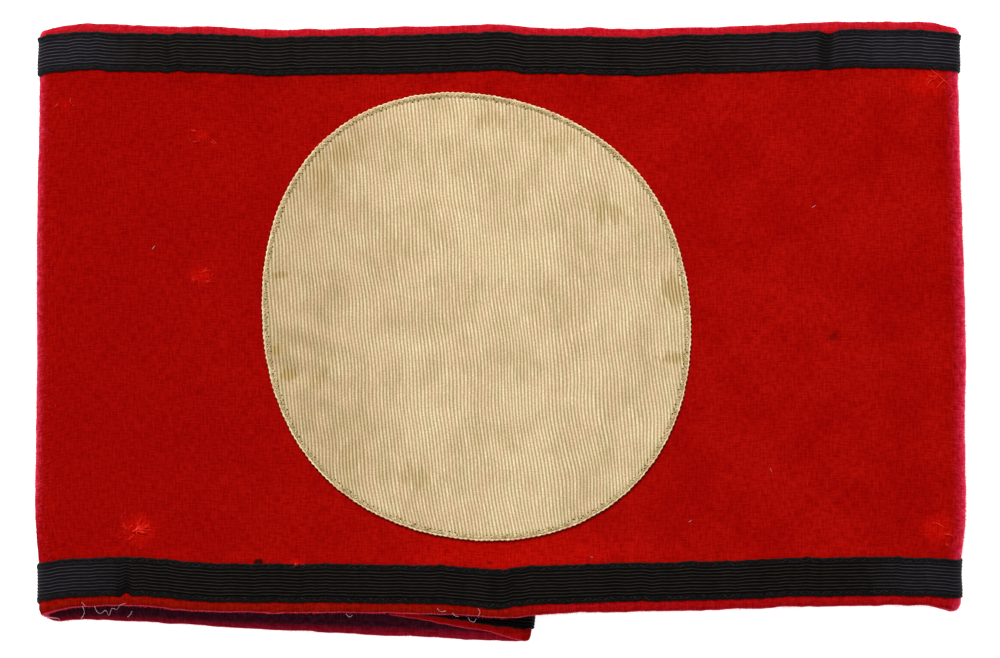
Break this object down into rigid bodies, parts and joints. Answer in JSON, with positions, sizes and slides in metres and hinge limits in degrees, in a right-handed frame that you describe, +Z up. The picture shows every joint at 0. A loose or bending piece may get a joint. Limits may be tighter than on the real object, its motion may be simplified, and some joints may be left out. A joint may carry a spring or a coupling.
{
  "type": "cloth armband",
  "caption": "Closed cloth armband pressed flat: red felted wool band with a black ribbed ribbon along each edge and a plain round patch sewn on the front.",
  "frame": {"origin": "middle of the footprint, on the surface that the flattened armband lies on", "axes": "+X along the band, to the right with the front up; +Y across the band towards its upper edge; +Z up out of the front"},
  "size_m": [0.1892, 0.1272, 0.0108],
  "materials": {
    "red_wool": "matte felted wool with a raised nap",
    "black_ribbon": "ribbed ribbon with a faint sheen",
    "patch_cloth": "matte ribbed cotton, yellowed"
  },
  "bodies": {
    "root": {"band": "red_wool", "ribbon_top": "black_ribbon", "ribbon_bottom": "black_ribbon", "disc": "patch_cloth"}
  },
  "joints": []
}
